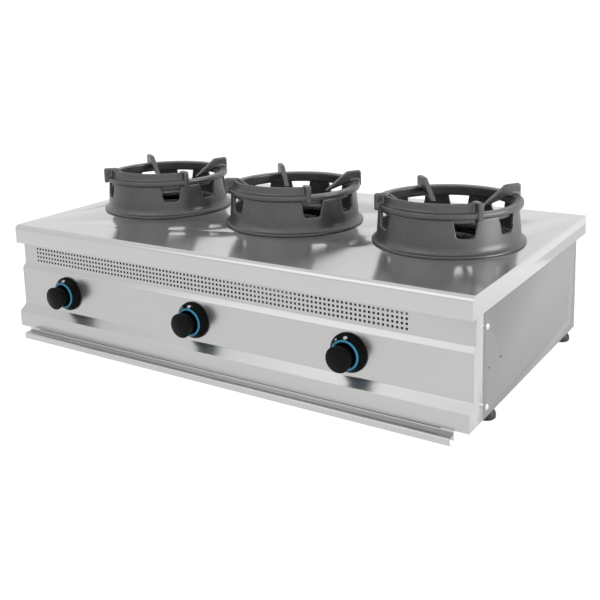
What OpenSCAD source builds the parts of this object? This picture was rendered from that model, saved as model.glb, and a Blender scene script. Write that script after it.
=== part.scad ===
// Countertop wok range with three gas burners.
// X runs along the front to the right, Y to the back, Z up from the floor.

/* [Overall] */
// Width of the cooking top
range_w = 1200; // [1150:10:1500]
// Depth of the cooking top
top_d = 700; // [680:5:900]
// Height of the body's underside above the floor
foot_h = 28; // [26:1:60]
// Thickness of the steel sheet
sheet_t = 1.5; // [1:0.1:2]

/* [Cooking top] */
// Height of the skirt around the cooking top
skirt_h = 45; // [30:1:55]
// Radius of the rounded front edge
nose_r = 12; // [4:1:20]
// Width of the hem turned in under the skirt
hem_w = 10; // [5:1:15]
// How far the top reaches behind the body
back_overhang = 68; // [50:1:100]
// Gap between the skirt and the body's sides
skirt_gap = 0.5; // [0.3:0.1:3]
// Outer radius of the collar around each burner opening
collar_r = 128; // [100:1:135]
// Height of the collar above the cooking top
collar_h = 10; // [4:1:14]

/* [Front panel] */
// Setback of the vent strip behind the edge of the top
vent_inset = 22; // [15:1:30]
// Depth of the vent strip's lower end below the cooking top
vent_end_drop = 100; // [95:1:110]
// Height of the upper slope
upper_slope_h = 11; // [5:1:20]
// How far the upper slope comes forward
upper_slope_d = 10; // [4:1:15]
// Height of the flat control panel
control_h = 94; // [85:1:120]
// Height of the sloped sill under the control panel
sill_h = 15; // [8:1:25]
// How far the sill comes forward
sill_d = 20; // [10:1:25]
// Height of the apron
apron_h = 37; // [25:1:50]
// Length of the side returns behind the edge of the top
return_d = 56; // [40:1:70]
// Length of the screwed tabs behind the returns
tab_d = 40; // [34:1:50]

/* [Vents] */
// Number of hole columns
vent_columns = 102; // [20:1:108]
// Number of hole rows
vent_rows = 4; // [1:1:4]
// Distance between holes
vent_pitch = 10; // [8:0.5:10]
// Side of one hole
vent_hole = 5; // [3:0.5:6]
// Distance of the first column from the left edge of the top
vent_margin = 50; // [30:5:80]
// Depth of the first row below the cooking top
vent_drop = 60; // [52:1:62]

/* [Burners] */
// Distance of the burners behind the edge of the top
burner_back = 350; // [320:5:400]
// Radius of the bright burner rim
rim_r = 66; // [60:1:80]
// Height of the burner rim
rim_h = 26; // [18:1:30]

/* [Wok rings] */
// Radius of the flared foot
ring_foot_r = 167; // [150:1:180]
// Outer radius of the barrel at its foot
barrel_r = 155; // [145:1:160]
// Outer radius of the barrel under the lip
neck_r = 151; // [144:1:158]
// Outer radius of the lip
lip_r = 160; // [155:1:170]
// Height of the lip's underside
lip_z = 80; // [70:1:86]
// Height of the rim
rim_z = 92; // [86:1:105]
// Height of the prongs
prong_z = 115; // [112:1:130]
// Thickness of the prongs
prong_t = 12; // [8:1:16]
// Radius that the prong tips leave free
prong_tip_r = 78; // [75:1:100]
// Height of the prong tips
prong_tip_z = 67; // [60:1:75]
// Wall of the barrel
ring_wall = 6; // [5:0.5:9]
// Height of the shield between two prongs
shield_z = 111; // [100:1:114]
// Width of a window at its top
window_w = 51; // [30:1:60]
// Width of a window at its sill
window_sill_w = 38; // [20:1:45]
// Height of a window's sill
window_z = 39; // [30:1:50]
// Radius of a window's lower corners
window_corner_r = 6; // [2:1:8]

/* [Knobs] */
// Distance of the first knob from the left edge of the top
knob_margin = 160; // [120:5:200]
// Distance between knobs
knob_pitch = 390; // [350:5:420]
// Depth of the knobs' axes below the cooking top
knob_drop = 156; // [150:1:162]
// How far a knob stands out of the panel
knob_d = 50; // [46:1:60]
// Radius of the knob's face
knob_r = 27; // [25:0.5:28]
// Radius of the knob's grip behind the face
grip_r = 23; // [20:0.5:24]
// Travel of a knob when it is pushed in
push_travel = 4; // [2:0.5:4.5]
// Radius of the bezel
bezel_r = 41; // [38:0.5:45]
// Height of the bezel's crown above the panel
bezel_h = 19; // [17:0.5:22]

/* [Gas line] */
// Radius of the valve stem
stem_r = 4; // [3:0.5:5]
// Outer radius of the manifold pipe
manifold_r = 10.7; // [10.6:0.1:12]
// Depth of the manifold's axis below the knobs
manifold_drop = 37; // [36:1:40]
// Distance of the gas inlet from the right edge of the top
inlet_inset = 55; // [50:1:65]
// Radius of the inlet's thread
inlet_r = 10.5; // [9:0.1:10.6]
// Length of the inlet's thread
inlet_l = 18; // [12:1:30]
// Length of the pipe between the body and the thread
inlet_neck = 10; // [5:1:20]
// Radius of the feed tubes
feed_r = 4; // [3:0.5:5]

/* [Drip tray] */
// Clearance between the tray's runners and the feet
tray_clear = 0.4; // [0.4:0.1:5]
// Length of the pan
pan_l = 580; // [500:5:590]
// Depth of the pan
pan_h = 15; // [10:1:16]
// Distance of the ends of the tray's front from the sides of the top
front_inset = 33; // [20:1:50]
// How far the tray's front stands before its pan
lip_d = 20; // [15:1:26]
// Height of the tray's front
lip_h = 14; // [10:1:15]

/* [Feet] */
// Radius of a foot
foot_r = 20; // [15:1:22]
// Distance of the feet from the sides of the top
foot_inset = 25; // [24:1:30]
// Distance of the front feet behind the edge of the top
front_foot_back = 130; // [110:5:200]
// Distance of the rear feet before the back of the body
rear_foot_front = 27; // [26:1:60]
// Radius of the threaded stud of a foot
stud_r = 5; // [4:0.5:6]
// How far the stud reaches above the body's underside
stud_l = 32; // [25:1:40]

/* [Hidden] */
$fn = 96;
SIDES = ["left", "middle", "right"];
CORNERS = ["front_left", "front_right", "rear_left", "rear_right"];
FIXED = ["top_plate", "top_braces", "front_panel", "left_side_panel", "right_side_panel", "rear_panel",
    "base_frame", "tray_runners", "burner_rails", "bezel_rings", "gas_manifold", "manifold_brackets",
    "injectors", "burner_rims", "pilot_brackets", "pilot_burners", "pilot_tubes", "thermocouples",
    "thermocouple_leads", "foot_nuts", "panel_screws", "drip_tray", "tray_front"];
THREE = ["bezel", "gas_valve", "feed_tube", "burner_body", "burner_cap", "knob", "valve_stem",
    "valve_plunger", "valve_spring", "wok_ring", "pan_support"];

// Overrun of a cut past the face that it leaves
over = 1;
// Gap left between pieces that move past each other
gap = 0.3;
// Radial clearance of a running fit
fit = 0.05;
// Radial clearance of a screw in its hole
screw_clear = 0.4;

// Levels, from the floor up
body_h = vent_end_drop + upper_slope_h + control_h + sill_h + apron_h;
top_z = foot_h + body_h;
top_under = top_z - sheet_t;
base_z = foot_h + sheet_t;
base_top = base_z + sheet_t;
knob_z = top_z - knob_drop;
manifold_z = knob_z - manifold_drop;

// Places along Y, with the whole range centred on the origin
control_inset = vent_inset - upper_slope_d;
knob_reach = knob_d - control_inset;
front_y = (knob_reach - top_d) / 2;
back_y = front_y + top_d;
vent_y = front_y + vent_inset;
control_y = front_y + control_inset;
apron_y = control_y - sill_d;
return_y = front_y + return_d;
body_back = back_y - back_overhang;
burner_y = front_y + burner_back;

// Places along X
body_half = range_w / 2 - sheet_t - skirt_gap;
inner_half = body_half - sheet_t;
inlet_x = range_w / 2 - inlet_inset;

burner_pitch = range_w / len(SIDES);
burner_xs = [for (i = [-1:1]) i * burner_pitch];
knob_xs = [for (i = [0:2]) knob_margin - range_w / 2 + i * knob_pitch];

// Sheet flanges and folds
top_flange = 20;
side_flange = 38;
rear_flange = 25;
front_flange = 25;
bend_r = 3;

// Base frame
base_strip = 58;
base_front = 60;
base_rear = 60;
base_lip = 8;

// Burner rails: a hat section along X
rail_half = 15;
rail_foot = 10;
rail_h = 25;
rail_spread = 45;
rail_drop = 75;
rail_top = top_z - rail_drop;

// Braces under the cooking top: a hat section along Y
brace_half = 20;
brace_foot = 15;
brace_h = 20;
brace_margin = 40;

// Burner body
bowl_r = 55;
bowl_wall = 5;
bowl_drop = 60;
bowl_h = 42;
venturi_r = 17;
venturi_wall = 4;
venturi_drop = 44;
mouth_r = 24;
mouth_l = 10;
mouth_back = 112;
lug_r = 9;
cap_r = 52;
cap_rise = 14;
cap_step_h = 8;
cap_core_r = 22;
port_w = 3;
port_h = 6;
port_count = 24;
rim_t = 2;

// Pilot group beside each burner
pilot_x = 40;
pilot_back = 74;
pilot_r = 5;
pilot_drop = 8;
couple_x = 58;
couple_r = 2.5;
couple_drop = 4;
bracket_w = 34;
pilot_tube_r = 2;
pilot_tube_drop = 115;
lead_r = 1.2;
lead_drop = 125;
line_side = 10;
line_front = 46;

// Valve
valve_w = 30;
valve_h = 34;
valve_front = 30;
valve_back = 84;
nose_bore_r = 9;
leg_r = 8;
boss_r = 9;
boss_h = 14;
stem_out = 26;
stem_in = 34;
flat_share = 0.75;
plunger_l = 12;
spring_r = 3;
spring_wire = 0.5;
spring_turns = 6;
spring_l = 9;
spring_rings = 12;
spring_sides = 6;
manifold_wall = 2.2;
manifold_back = 52;
manifold_left = 35;
manifold_bend = 30;

// Feed tubes and injectors
feed_back = 92;
feed_end = 98;
injector_l = 12;
injector_hex_r = 7;
injector_tip_r = 3;
injector_tip_l = 8;

// Screws
dome_r = 6.5;
dome_h = 3.5;
shank_r = 3;
shank_l = 5;
side_screw_y = 76;
side_screw_drops = [78, 237];
service_hole_r = 2.5;
service_hole_drop = 162;
service_hole_ys = [85, 147];
tiny_hole_r = 1.5;
tiny_hole_y = 572;
tiny_hole_drops = [178, 217];
rear_screw_r = 4;
rear_screw_h = 2.4;
rear_shank_r = 2;
rear_screw_inset = 12;
rear_screw_count = 3;
rear_screw_drop = 60;
rear_screw_pitch = 75;

// Tray runner
runner_ledge = 10;
runner_drop = 8;
runner_flange = 15;
pan_rim = 9;
lip_drop = 4.8;
tray_gap = 2;
lip_fall = 1.5;
hem_in = 0.5;
hem_r = sheet_t + hem_in;

// Feet
foot_base_h = 10;
foot_top_r = 12;
nut_h = 8;
nut_r = 9;
pad_edge = 2;

// Bezels and knobs
well_clear = 3;
ring_w = 5;
bezel_floor = 3;
ring_seat = 5;
shoulder_share = 0.4;
knob_face_h = 8;
knob_dome_h = 4;
knob_flare_h = 2.5;
dome_steps = 6;
rib_count = 24;
rib_r = 1;

// Wok rings
window_start = -53;
window_step = 39.2;
window_back_step = 76.5;
window_count = 7;
ring_turns = [7, 12, 0];
ledge_gap = 3;
ledge_h = 6;
flare_h = 24;
ring_edge = 2;
seat_h = 14;

// Pan supports on the wok rings
prong_azimuths = [-137, -45, 42, 135];
support_turns = [13, 0, 2];
support_wall = 4;
spigot_h = 12;
shield_out = 12;
shield_in = 1;
shield_t = 5;
prong_tab = 6;
prong_grip = 3.5;
prong_round = 5;
prong_flat = 28;
prong_fall = 2;
prong_tip_h = 4;
prong_sink = 4;

function arc(c, r, a0, a1, n = 8) =
    [for (i = [0:n]) let (a = a0 + (a1 - a0) * i / n) c + r * [cos(a), sin(a)]];
function left_of(p, q) = let (d = (q - p) / norm(q - p)) [-d[1], d[0]];
function beside(path, t) = [for (i = [0:len(path) - 1])
    let (last = len(path) - 1)
    let (a = i == 0 ? left_of(path[0], path[1]) : left_of(path[i - 1], path[i]))
    let (b = i == last ? a : left_of(path[i], path[i + 1]))
    path[i] + t * (a + b) / (1 + a * b)];
function backwards(list) = [for (i = [len(list) - 1:-1:0]) list[i]];
function band(path, t) = concat(path, backwards(beside(path, t)));

// Draws a profile given in Y and Z and stretches it along X, centred
module along_x(w) {
    rotate([90, 0, 90]) linear_extrude(w, center = true) children();
}

// Draws a profile given in X and Z and stretches it towards the back
module along_y(l) {
    rotate([90, 0, 0]) mirror([0, 0, 1]) linear_extrude(l) children();
}

module block(low, high) {
    translate(low) cube(high - low);
}

// Round bar from a point towards the back
module bar_y(r, l) {
    rotate([-90, 0, 0]) cylinder(r = r, h = l);
}

module bar_x(r, l) {
    rotate([0, 90, 0]) cylinder(r = r, h = l);
}

module tube(outer, inner, h) {
    difference() {
        cylinder(r = outer, h = h);
        translate([0, 0, -over]) cylinder(r = inner, h = h + 2 * over);
    }
}

// Round rod through a list of points, with balls at its bends
module rod_run(points, r) {
    for (i = [0:len(points) - 2]) {
        d = points[i + 1] - points[i];
        translate(points[i])
            rotate([0, acos(d[2] / norm(d)), atan2(d[1], d[0])])
            cylinder(r = r, h = norm(d));
    }
    for (i = [1:1:len(points) - 2]) translate(points[i]) sphere(r = r);
}

// Cooking top

top_path = concat(
    [[front_y + hem_w, top_z - skirt_h], [front_y, top_z - skirt_h]],
    arc([front_y + nose_r, top_z - nose_r], nose_r, 180, 90),
    arc([back_y - bend_r, top_z - bend_r], bend_r, 90, 0),
    [[back_y, top_z - skirt_h], [back_y - hem_w, top_z - skirt_h]]);
skirt_outline = [for (i = [1:len(top_path) - 2]) top_path[i]];

module top_plate() {
    color("gainsboro") {
        difference() {
            union() {
                along_x(range_w) polygon(band(top_path, -sheet_t));
                for (s = [-1, 1]) translate([s * (range_w - sheet_t) / 2, 0, 0])
                    along_x(sheet_t) polygon(skirt_outline);
            }
            for (x = burner_xs) translate([x, burner_y, top_under - over])
                cylinder(r = collar_r - sheet_t, h = sheet_t + 2 * over);
        }
        for (x = burner_xs) translate([x, burner_y, top_under])
            tube(collar_r, collar_r - sheet_t, collar_h + sheet_t);
    }
}

brace_path = [[-brace_half - brace_foot, 0], [-brace_half, 0], [-brace_half, -brace_h],
    [brace_half, -brace_h], [brace_half, 0], [brace_half + brace_foot, 0]];

module top_braces() {
    brace_front = return_y + brace_margin;
    brace_back = body_back - brace_margin;
    color("silver") for (s = [-1, 1])
        translate([s * burner_pitch / 2, brace_front, top_under])
        along_y(brace_back - brace_front) polygon(band(brace_path, -sheet_t));
}

// Body

front_face = [[vent_y, top_under], [vent_y, top_z - vent_end_drop],
    [control_y, top_z - vent_end_drop - upper_slope_h],
    [control_y, foot_h + apron_h + sill_h], [apron_y, foot_h + apron_h], [apron_y, foot_h]];
front_path = concat([[vent_y + top_flange, top_under]], front_face, [[apron_y + front_flange, foot_h]]);
return_outline = concat(front_face, [[return_y, foot_h], [return_y, top_under]]);
tab_low = base_top + gap;
tab_high = top_under - top_flange;
tab_front = return_y - rear_flange / 2;
tab_back = return_y + tab_d;
side_screw_y_abs = front_y + side_screw_y;

module vent_holes() {
    first_x = vent_margin - range_w / 2;
    for (column = [0:vent_columns - 1], row = [0:vent_rows - 1])
        translate([first_x + column * vent_pitch, top_z - vent_drop - row * vent_pitch])
        square(vent_hole, center = true);
}

module front_panel() {
    color("gainsboro") difference() {
        union() {
            difference() {
                along_x(2 * body_half) polygon(band(front_path, sheet_t));
                translate([0, vent_y - over, 0])
                    along_y(sheet_t + 2 * over) vent_holes();
            }
            for (s = [-1, 1]) {
                translate([s * (body_half - sheet_t / 2), 0, 0])
                    along_x(sheet_t) polygon(return_outline);
                translate([s * (inner_half - sheet_t / 2), 0, 0])
                    block([-sheet_t / 2, tab_front, tab_low], [sheet_t / 2, tab_back, tab_high]);
            }
        }
        for (x = knob_xs) translate([x, control_y - over, knob_z])
            bar_y(stem_r + screw_clear, sheet_t + 2 * over);
        for (s = [-1, 1], drop = side_screw_drops)
            translate([s * body_half, side_screw_y_abs, top_z - drop]) side_hole(shank_r + screw_clear);
    }
}

module side_hole(r) {
    reach = 3 * sheet_t + over;
    translate([-reach, 0, 0]) bar_x(r, 2 * reach);
}

module side_panel(s) {
    color("silver") difference() {
        scale([s, 1, 1]) union() {
            block([inner_half, return_y, foot_h], [body_half, body_back, top_under]);
            block([body_half - side_flange, return_y, foot_h],
                [body_half, body_back - sheet_t, foot_h + sheet_t]);
            block([inner_half - top_flange, tab_back + gap, top_under - sheet_t],
                [body_half, body_back - 2 * sheet_t, top_under]);
            block([inner_half - rear_flange, body_back - 2 * sheet_t, foot_h],
                [body_half, body_back - sheet_t, top_under]);
        }
        translate([s * body_half, 0, 0]) {
            for (drop = side_screw_drops) translate([0, side_screw_y_abs, top_z - drop])
                side_hole(shank_r + screw_clear);
            for (y = service_hole_ys) translate([0, front_y + y, top_z - service_hole_drop])
                side_hole(service_hole_r);
            for (drop = tiny_hole_drops) translate([0, front_y + tiny_hole_y, top_z - drop])
                side_hole(tiny_hole_r);
        }
        for (y = foot_ys) translate([s * foot_x, y, foot_h - over])
            cylinder(r = stud_r + screw_clear, h = sheet_t + 2 * over);
        for (p = rear_screw_places) if (sign(p[0]) == s)
            translate([p[0], body_back - 2 * sheet_t - over, p[1]])
            bar_y(rear_shank_r + screw_clear, sheet_t + 2 * over);
    }
}

rear_half = inner_half - gap;
rear_screw_places = [for (s = [-1, 1], i = [0:rear_screw_count - 1])
    [s * (rear_half - rear_screw_inset), top_z - rear_screw_drop - i * rear_screw_pitch]];

module rear_panel() {
    color("silver") difference() {
        block([-rear_half, body_back - sheet_t, foot_h], [rear_half, body_back, top_under]);
        translate([inlet_x, body_back - sheet_t - over, manifold_z])
            bar_y(manifold_r + screw_clear, sheet_t + 2 * over);
        for (p = rear_screw_places) translate([p[0], body_back - sheet_t - over, p[1]])
            bar_y(rear_shank_r + screw_clear, sheet_t + 2 * over);
    }
}

foot_x = range_w / 2 - foot_inset;
foot_ys = [front_y + front_foot_back, body_back - rear_foot_front];
base_half = inner_half - gap;
base_open_half = body_half - base_strip;
base_low_y = apron_y + sheet_t + gap;
base_high_y = body_back - 2 * sheet_t - gap;

module base_frame() {
    color("silver") difference() {
        union() {
            block([-base_half, base_low_y, base_z], [base_half, base_high_y, base_top]);
            block([-base_open_half - sheet_t, front_y + base_front - sheet_t, base_z],
                [base_open_half + sheet_t, body_back - base_rear + sheet_t, base_top + base_lip]);
        }
        block([-base_open_half, front_y + base_front, base_z - over],
            [base_open_half, body_back - base_rear, base_top + base_lip + over]);
        for (s = [-1, 1], y = foot_ys) translate([s * foot_x, y, base_z - over])
            cylinder(r = stud_r + screw_clear, h = sheet_t + 2 * over);
    }
}

// Burner rails

rail_path = [[-rail_half - rail_foot, -rail_h], [-rail_half, -rail_h], [-rail_half, 0],
    [rail_half, 0], [rail_half, -rail_h], [rail_half + rail_foot, -rail_h]];

module burner_rails() {
    color("silver") for (s = [-1, 1]) translate([0, burner_y + s * rail_spread, rail_top]) {
        along_x(2 * inner_half) polygon(band(rail_path, -sheet_t));
        for (e = [-1, 1]) translate([e * (inner_half - sheet_t / 2), 0, 0])
            block([-sheet_t / 2, -rail_half, -rail_h], [sheet_t / 2, rail_half, 0]);
    }
}

// Burners

module burner_body(x) {
    color("dimgray") translate([x, burner_y, top_z]) difference() {
        union() {
            translate([0, 0, -bowl_drop]) cylinder(r = bowl_r, h = bowl_h);
            for (s = [-1, 1]) translate([0, s * rail_spread, -rail_drop])
                cylinder(r = lug_r, h = rail_drop - bowl_drop + over);
            translate([0, mouth_back - burner_back, -venturi_drop])
                bar_y(venturi_r, burner_back - mouth_back);
            translate([0, mouth_back - burner_back, -venturi_drop]) bar_y(mouth_r, mouth_l);
        }
        translate([0, 0, bowl_wall - bowl_drop]) cylinder(r = bowl_r - bowl_wall, h = bowl_h);
        translate([0, mouth_back - burner_back - over, -venturi_drop])
            bar_y(venturi_r - venturi_wall, burner_back - mouth_back + over);
    }
}

bowl_top = top_z - bowl_drop + bowl_h;

module burner_cap(x) {
    cap_top = bowl_top + cap_rise;
    color("darkgoldenrod") translate([x, burner_y, 0]) difference() {
        rotate_extrude() polygon([[0, bowl_top], [cap_r, bowl_top], [cap_r, bowl_top + cap_step_h],
            [cap_r - cap_step_h, bowl_top + cap_step_h + port_w], [cap_core_r, cap_top - port_w],
            [cap_core_r - port_w, cap_top], [0, cap_top]]);
        for (i = [0:port_count - 1]) rotate([0, 0, i * 360 / port_count])
            block([cap_r - port_h, -port_w / 2, bowl_top + port_w], [cap_r + over, port_w / 2, cap_top]);
    }
}

module burner_rims() {
    color("lightgray") for (x = burner_xs) translate([x, burner_y, top_z]) rotate_extrude()
        polygon([[bowl_r, -rim_h], [rim_r, -rim_h], [rim_r, 0],
            [rim_r - rim_t, 0], [rim_r - rim_t, rim_t - rim_h], [bowl_r, rim_t - rim_h]]);
}

module pilot_brackets() {
    bracket_x = pilot_x - 2 * pilot_r;
    tip = pilot_back + 2 * pilot_r;
    color("silver") for (x = burner_xs) translate([x, burner_y, rail_top]) difference() {
        block([bracket_x, -tip, 0], [bracket_x + bracket_w, rail_half - rail_spread, sheet_t]);
        for (hole = [[pilot_x, pilot_tube_r], [couple_x, lead_r]])
            translate([hole[0], -pilot_back, -over])
            cylinder(r = hole[1] + screw_clear, h = sheet_t + 2 * over);
    }
}

module pilot_burners() {
    rod_l = top_z - pilot_drop - rail_top - sheet_t;
    color("goldenrod") for (x = burner_xs)
        translate([x + pilot_x, burner_y - pilot_back, rail_top + sheet_t]) difference() {
            cylinder(r = pilot_r, h = rod_l);
            translate([0, 0, rod_l - 2 * pilot_r]) block([-over, 0, 0], [over, 2 * pilot_r, pilot_r]);
        }
}

module thermocouples() {
    rod_l = top_z - couple_drop - rail_top - sheet_t;
    color("silver") for (x = burner_xs)
        translate([x + couple_x, burner_y - pilot_back, rail_top + sheet_t])
        cylinder(r = couple_r, h = rod_l);
}

// Runs a thin line from the top of each valve to a point under the bracket
module thin_lines(side, drop, target_x, r) {
    level = top_z - drop;
    for (i = [0:2]) {
        x = knob_xs[i] + side;
        y = burner_y - pilot_back;
        rod_run([[x, front_y + line_front, knob_z + valve_h / 2], [x, front_y + line_front, level],
            [x, y, level], [burner_xs[i] + target_x, y, level],
            [burner_xs[i] + target_x, y, rail_top + sheet_t]], r);
    }
}

module pilot_tubes() {
    color("goldenrod") thin_lines(line_side, pilot_tube_drop, pilot_x, pilot_tube_r);
}

module thermocouple_leads() {
    color("peru") thin_lines(-line_side, lead_drop, couple_x, lead_r);
}

// Gas line

// Bent pipe: along the front, round the bend and back through the body
module manifold_run(r, left_x, end_y) {
    pipe_y = front_y + manifold_back;
    translate([left_x, pipe_y, 0]) bar_x(r, inlet_x - manifold_bend - left_x);
    translate([inlet_x - manifold_bend, pipe_y + manifold_bend, 0]) rotate([0, 0, -90])
        rotate_extrude(angle = 90) translate([manifold_bend, 0]) circle(r = r);
    translate([inlet_x, pipe_y + manifold_bend, 0]) bar_y(r, end_y - pipe_y - manifold_bend);
}

module gas_manifold() {
    left_x = knob_xs[0] - manifold_left;
    neck_end = body_back + inlet_neck;
    color("goldenrod") translate([0, 0, manifold_z]) difference() {
        union() {
            manifold_run(manifold_r, left_x, neck_end);
            translate([inlet_x, neck_end - over, 0]) bar_y(inlet_r, inlet_l + over);
            for (x = knob_xs) translate([x, front_y + manifold_back, 0]) cylinder(r = boss_r, h = boss_h);
        }
        manifold_run(manifold_r - manifold_wall, left_x + manifold_wall, neck_end + inlet_l + over);
    }
}

module manifold_brackets() {
    pipe_y = front_y + manifold_back;
    color("silver") for (i = [0, 1]) {
        x = (knob_xs[i] + knob_xs[i + 1]) / 2;
        difference() {
            block([x - sheet_t, pipe_y - manifold_r, base_top],
                [x + sheet_t, pipe_y + base_lip - sheet_t, manifold_z]);
            translate([x - over - sheet_t, pipe_y, manifold_z]) bar_x(manifold_r, 2 * (sheet_t + over));
        }
    }
}

module gas_valve(x) {
    back_at = valve_back - control_inset;
    leg_bottom = manifold_z + boss_h - knob_z;
    bore_l = stem_in + plunger_l + spring_l + push_travel + 3 * gap - sheet_t;
    color("darkkhaki") translate([x, control_y, knob_z]) difference() {
        union() {
            translate([0, sheet_t, 0]) bar_y(nose_bore_r, valve_front);
            block([-valve_w / 2, valve_front - control_inset, -valve_h / 2],
                [valve_w / 2, back_at, valve_h / 2]);
            translate([0, manifold_back - control_inset, leg_bottom])
                cylinder(r = leg_r, h = -leg_bottom);
        }
        translate([0, sheet_t - over, 0]) bar_y(stem_r + fit, bore_l + over);
    }
}

module valve_stem(x) {
    flat = stem_r * flat_share;
    color("silver") translate([x, control_y, knob_z]) difference() {
        translate([0, -stem_out, 0]) bar_y(stem_r, stem_out + stem_in);
        block([-stem_r, -stem_out - over, flat], [stem_r, -push_travel - over, stem_r + over]);
    }
}

module valve_plunger(x) {
    color("silver") translate([x, control_y + stem_in + gap, knob_z]) bar_y(stem_r, plunger_l);
}

// Compression spring: one wire wound on a helix behind the plunger
module valve_spring(x) {
    start_y = control_y + stem_in + plunger_l + 2 * gap + spring_wire;
    steps = spring_turns * spring_rings;
    rise = spring_l - 2 * spring_wire;
    points = [for (i = [0:steps], k = [0:spring_sides - 1])
        let (a = 360 * i / spring_rings, b = 360 * k / spring_sides)
        let (r = spring_r + spring_wire * cos(b))
        [r * cos(a), rise * i / steps + spring_wire * sin(b), r * sin(a)]];
    walls = [for (i = [0:steps - 1], k = [0:spring_sides - 1])
        let (n = (k + 1) % spring_sides)
        each [[i * spring_sides + k, (i + 1) * spring_sides + n, i * spring_sides + n],
            [i * spring_sides + k, (i + 1) * spring_sides + k, (i + 1) * spring_sides + n]]];
    last = steps * spring_sides;
    starts = [for (k = [1:spring_sides - 2]) [0, k, k + 1]];
    ends = [for (k = [1:spring_sides - 2]) [last, last + k + 1, last + k]];
    color("silver") translate([x, start_y, knob_z]) polyhedron(points, concat(walls, starts, ends));
}

module feed_tube(i) {
    vx = knob_xs[i];
    bx = burner_xs[i];
    high = top_z - venturi_drop;
    turn_y = front_y + feed_back;
    color("goldenrod") rod_run([[vx, front_y + valve_back, knob_z], [vx, turn_y, knob_z],
        [vx, turn_y, high], [bx, turn_y, high], [bx, front_y + feed_end, high]], feed_r);
}

module injectors() {
    color("gold") for (x = burner_xs) translate([x, front_y + feed_end, top_z - venturi_drop]) {
        rotate([-90, 0, 0]) cylinder(r = injector_hex_r, h = injector_l, $fn = 6);
        bar_y(injector_tip_r, injector_l + injector_tip_l);
    }
}

// Knobs and bezels

well_r = grip_r + well_clear;
ring_outer_r = well_r + ring_w;

module bezel(x) {
    shoulder = bezel_h * shoulder_share;
    hub_r = stem_r + screw_clear;
    color("black") translate([x, control_y, knob_z]) rotate([90, 0, 0]) rotate_extrude() polygon(concat(
        [[hub_r, 0], [bezel_r, 0]], arc([bezel_r - shoulder, bezel_floor], shoulder, 0, 60),
        [[ring_outer_r + gap, bezel_h - gap], [ring_outer_r, bezel_h - gap], [ring_outer_r, ring_seat],
        [well_r, ring_seat], [well_r, bezel_floor], [hub_r, bezel_floor]]));
}

module bezel_rings() {
    bead = ring_w / 2;
    color("steelblue") for (x = knob_xs) translate([x, control_y, knob_z]) rotate([90, 0, 0])
        rotate_extrude() polygon(concat([[well_r, ring_seat], [ring_outer_r, ring_seat]],
            arc([ring_outer_r - bead, bezel_h], bead, 0, 180)));
}

knob_back = bezel_floor + push_travel + 2 * gap;

module knob(x) {
    face_d = knob_d - knob_face_h;
    dome_d = knob_d - knob_dome_h;
    core_r = grip_r - rib_r;
    flat = stem_r * flat_share;
    color("black") translate([x, control_y, knob_z]) rotate([90, 0, 0]) difference() {
        union() {
            rotate_extrude() polygon(concat([[0, knob_back], [core_r, knob_back],
                [core_r, face_d - knob_flare_h], [knob_r - rib_r, face_d], [knob_r, face_d + rib_r]],
                [for (k = [0:dome_steps]) let (share = 1 - k / dome_steps)
                    [knob_r * share, dome_d + knob_dome_h * (1 - share * share)]]));
            for (k = [0:rib_count - 1]) rotate([0, 0, k * 360 / rib_count])
                translate([core_r, 0, knob_back]) cylinder(r = rib_r, h = face_d - knob_back);
        }
        difference() {
            cylinder(r = stem_r + fit, h = stem_out + fit);
            block([-2 * stem_r, flat + fit, knob_back - over], [2 * stem_r, 2 * stem_r, knob_d]);
        }
    }
}

// Wok rings

ring_foot = ring_foot_r - ring_edge;
ring_inner = neck_r - ring_wall;
barrel_inner = ring_inner + ring_edge;
spigot_r = ring_inner - gap;
support_inner = spigot_r - support_wall;
ledge_r = collar_r + ledge_gap;
window_azimuths = concat([window_start - window_back_step],
    [for (i = [0:window_count - 1]) window_start + i * window_step]);

module ring_profile() {
    polygon(concat([[ledge_r, 0]], arc([ring_foot, ring_edge], ring_edge, -90, 0, 4),
        arc([ring_foot, ledge_h - ring_edge], ring_edge, 0, 80, 4),
        [for (a = [80:-10:0])
            [ring_foot - (ring_foot - barrel_r) * cos(a), flare_h - (flare_h - ledge_h) * sin(a)]],
        [[neck_r, lip_z - gap], [ring_inner, lip_z - gap], [ring_inner, lip_z - seat_h],
        [barrel_inner, lip_z / 2], [barrel_inner, ledge_h], [ledge_r, ledge_h]]));
}

module window_outline() {
    top = lip_z + over;
    r = window_corner_r;
    half = window_sill_w / 2;
    slope = (window_w - window_sill_w) / 2 / (lip_z - window_z);
    wide = half + slope * (top - window_z);
    lean = atan(slope);
    polygon(concat([[wide, top], [-wide, top]], arc([r - half, window_z + r], r, 180 + lean, 270),
        arc([half - r, window_z + r], r, 270, 360 - lean)));
}

module window_cut(azimuth) {
    rotate([0, 0, azimuth - 90]) translate([0, support_inner, 0])
        along_y(lip_r - support_inner) window_outline();
}

prong_tip = [prong_tip_r + prong_tip_h / 2, prong_tip_z + prong_tip_h / 2];
prong_outline = concat([[lip_r + prong_tab, lip_z - ring_edge]],
    arc([lip_r + prong_tab - prong_round, prong_z - prong_round], prong_round, 0, 90),
    [[lip_r - prong_flat, prong_z - prong_fall]],
    arc(prong_tip, prong_tip_h / 2, 130, 270),
    [[support_inner + ring_edge, rim_z - prong_sink], [lip_r - prong_grip, rim_z - prong_sink],
    [lip_r - prong_grip, lip_z - ring_edge]]);

module prong(azimuth) {
    rotate([90, 0, azimuth]) linear_extrude(prong_t, center = true) polygon(prong_outline);
}

module wok_ring(i) {
    color("dimgray") translate([burner_xs[i], burner_y, top_z]) rotate([0, 0, ring_turns[i]])
        difference() {
            rotate_extrude() ring_profile();
            for (a = window_azimuths) window_cut(a);
        }
}

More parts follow.
